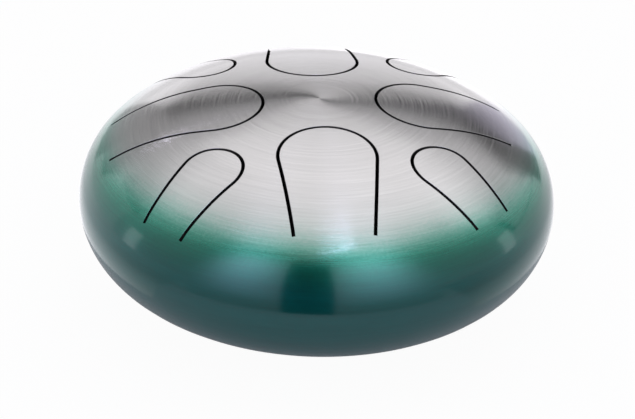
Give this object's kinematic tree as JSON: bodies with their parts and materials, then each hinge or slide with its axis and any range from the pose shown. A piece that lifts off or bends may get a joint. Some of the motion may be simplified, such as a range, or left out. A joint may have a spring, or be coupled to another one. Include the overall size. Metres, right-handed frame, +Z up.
{
  "type": "steel tongue drum",
  "caption": "Lens-shaped hollow steel drum whose slotted top dome leaves sprung tongues that ring when struck; brushed crown fading to green lacquer, sound port below, rubber feet.",
  "frame": {"origin": "on the table below the middle of the crown, level with the bottom of the rubber feet", "axes": "+Z up through the crown, -Y towards the player along the front tongue, +X to the player's right"},
  "size_m": [0.22, 0.22, 0.1014],
  "materials": {
    "brushed_steel": "brushed steel under clear lacquer, fading to translucent green at the rim",
    "green_lacquer": "deep translucent green lacquer over steel, high gloss",
    "black_rubber": "matt moulded rubber",
    "zinc_steel": "bright zinc plate"
  },
  "bodies": {
    "drum_body": {"top_shell": "brushed_steel", "bottom_shell": "green_lacquer", "rim_weld": "green_lacquer", "port_trim": "black_rubber", "foot_1": "black_rubber", "foot_2": "black_rubber", "foot_3": "black_rubber", "foot_4": "black_rubber", "foot_screws": "zinc_steel", "foot_head_washers": "zinc_steel", "foot_nuts": "zinc_steel", "foot_damping_washers": "black_rubber"},
    "tongue_front": {"tongue_front": "brushed_steel"},
    "tongue_front_right": {"tongue_front_right": "brushed_steel"},
    "tongue_right": {"tongue_right": "brushed_steel"},
    "tongue_back_right": {"tongue_back_right": "brushed_steel"},
    "tongue_back": {"tongue_back": "brushed_steel"},
    "tongue_back_left": {"tongue_back_left": "brushed_steel"},
    "tongue_left": {"tongue_left": "brushed_steel"},
    "tongue_front_left": {"tongue_front_left": "brushed_steel"}
  },
  "joints": [
    {"name": "front_flex", "type": "hinge", "parent": "drum_body", "child": "tongue_front", "pos_m": [0, -0.0902, 0.08294], "axis": [-1, 0, 0], "range_deg": [-0.5, 0.5], "stiffness_Nm_per_rad": 238.8},
    {"name": "front_right_flex", "type": "hinge", "parent": "drum_body", "child": "tongue_front_right", "pos_m": [0.06986, -0.06986, 0.07662], "axis": [-0.7071, -0.7071, 0], "range_deg": [-0.5, 0.5], "stiffness_Nm_per_rad": 236.7},
    {"name": "right_flex", "type": "hinge", "parent": "drum_body", "child": "tongue_right", "pos_m": [0.0862, 0, 0.08531], "axis": [0, -1, 0], "range_deg": [-0.5, 0.5], "stiffness_Nm_per_rad": 254.5},
    {"name": "back_right_flex", "type": "hinge", "parent": "drum_body", "child": "tongue_back_right", "pos_m": [0.06894, 0.06894, 0.07777], "axis": [0.7071, -0.7071, 0], "range_deg": [-0.5, 0.5], "stiffness_Nm_per_rad": 244.4},
    {"name": "back_flex", "type": "hinge", "parent": "drum_body", "child": "tongue_back", "pos_m": [0, 0.0915, 0.08211], "axis": [1, 0, 0], "range_deg": [-0.5, 0.5], "stiffness_Nm_per_rad": 234},
    {"name": "back_left_flex", "type": "hinge", "parent": "drum_body", "child": "tongue_back_left", "pos_m": [-0.07071, 0.07071, 0.07544], "axis": [0.7071, 0.7071, 0], "range_deg": [-0.5, 0.5], "stiffness_Nm_per_rad": 230},
    {"name": "left_flex", "type": "hinge", "parent": "drum_body", "child": "tongue_left", "pos_m": [-0.0949, 0, 0.07977], "axis": [0, 1, 0], "range_deg": [-0.5, 0.5], "stiffness_Nm_per_rad": 222.5},
    {"name": "front_left_flex", "type": "hinge", "parent": "drum_body", "child": "tongue_front_left", "pos_m": [-0.07156, -0.07156, 0.07412], "axis": [-0.7071, 0.7071, 0], "range_deg": [-0.5, 0.5], "stiffness_Nm_per_rad": 223.7}
  ]
}
